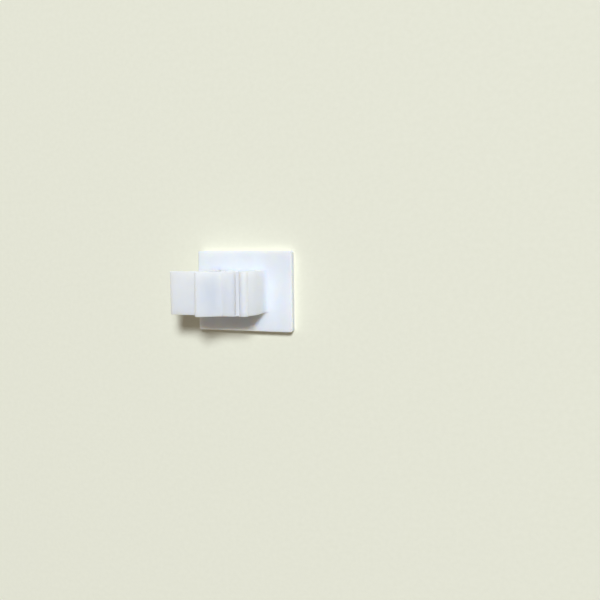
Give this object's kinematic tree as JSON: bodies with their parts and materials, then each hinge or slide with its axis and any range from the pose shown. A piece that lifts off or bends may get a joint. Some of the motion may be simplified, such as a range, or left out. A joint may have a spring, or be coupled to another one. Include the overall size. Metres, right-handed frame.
{
  "type": "self-adhesive tube clip",
  "caption": "Self-adhesive tube and cable clip: base plate on foam tape, ring clamp with hinged closing strap, finger lip, and snap latch with release tab.",
  "frame": {"origin": "on the wall side of the foam tape, at the middle of the plate, under the tube's axis", "axes": "+X from the latch to the hinge, +Y along the tube, +Z out of the wall"},
  "size_m": [0.0273, 0.0192, 0.0147],
  "materials": {
    "nylon": "natural white nylon, slightly translucent, satin as moulded",
    "foam": "white closed-cell foam, matt",
    "adhesive": "clear acrylic adhesive film, tacky"
  },
  "bodies": {
    "base": {"wall_adhesive": "adhesive", "foam_pad": "foam", "plate_adhesive": "adhesive", "base_plate": "nylon", "tube_saddle": "nylon", "fixed_jaw": "nylon", "hinge_web": "nylon", "latch_root": "nylon"},
    "strap": {"closing_strap": "nylon", "finger_lip": "nylon", "strap_hook": "nylon"},
    "latch": {"latch_arm": "nylon", "latch_catch": "nylon", "release_tab": "nylon"}
  },
  "joints": [
    {"name": "strap_swing", "type": "hinge", "parent": "base", "child": "strap", "pos_m": [0.00208, 0, 0.01126], "axis": [0, 1, 0], "range_deg": [0, 90], "deforming": ["hinge_web", "latch_catch"]},
    {"name": "latch_flex", "type": "hinge", "parent": "base", "child": "latch", "pos_m": [-0.00635, 0, 0.0028], "axis": [0, -1, 0], "range_deg": [0, 8], "stiffness_Nm_per_rad": 0.002, "deforming": ["latch_root"]}
  ]
}
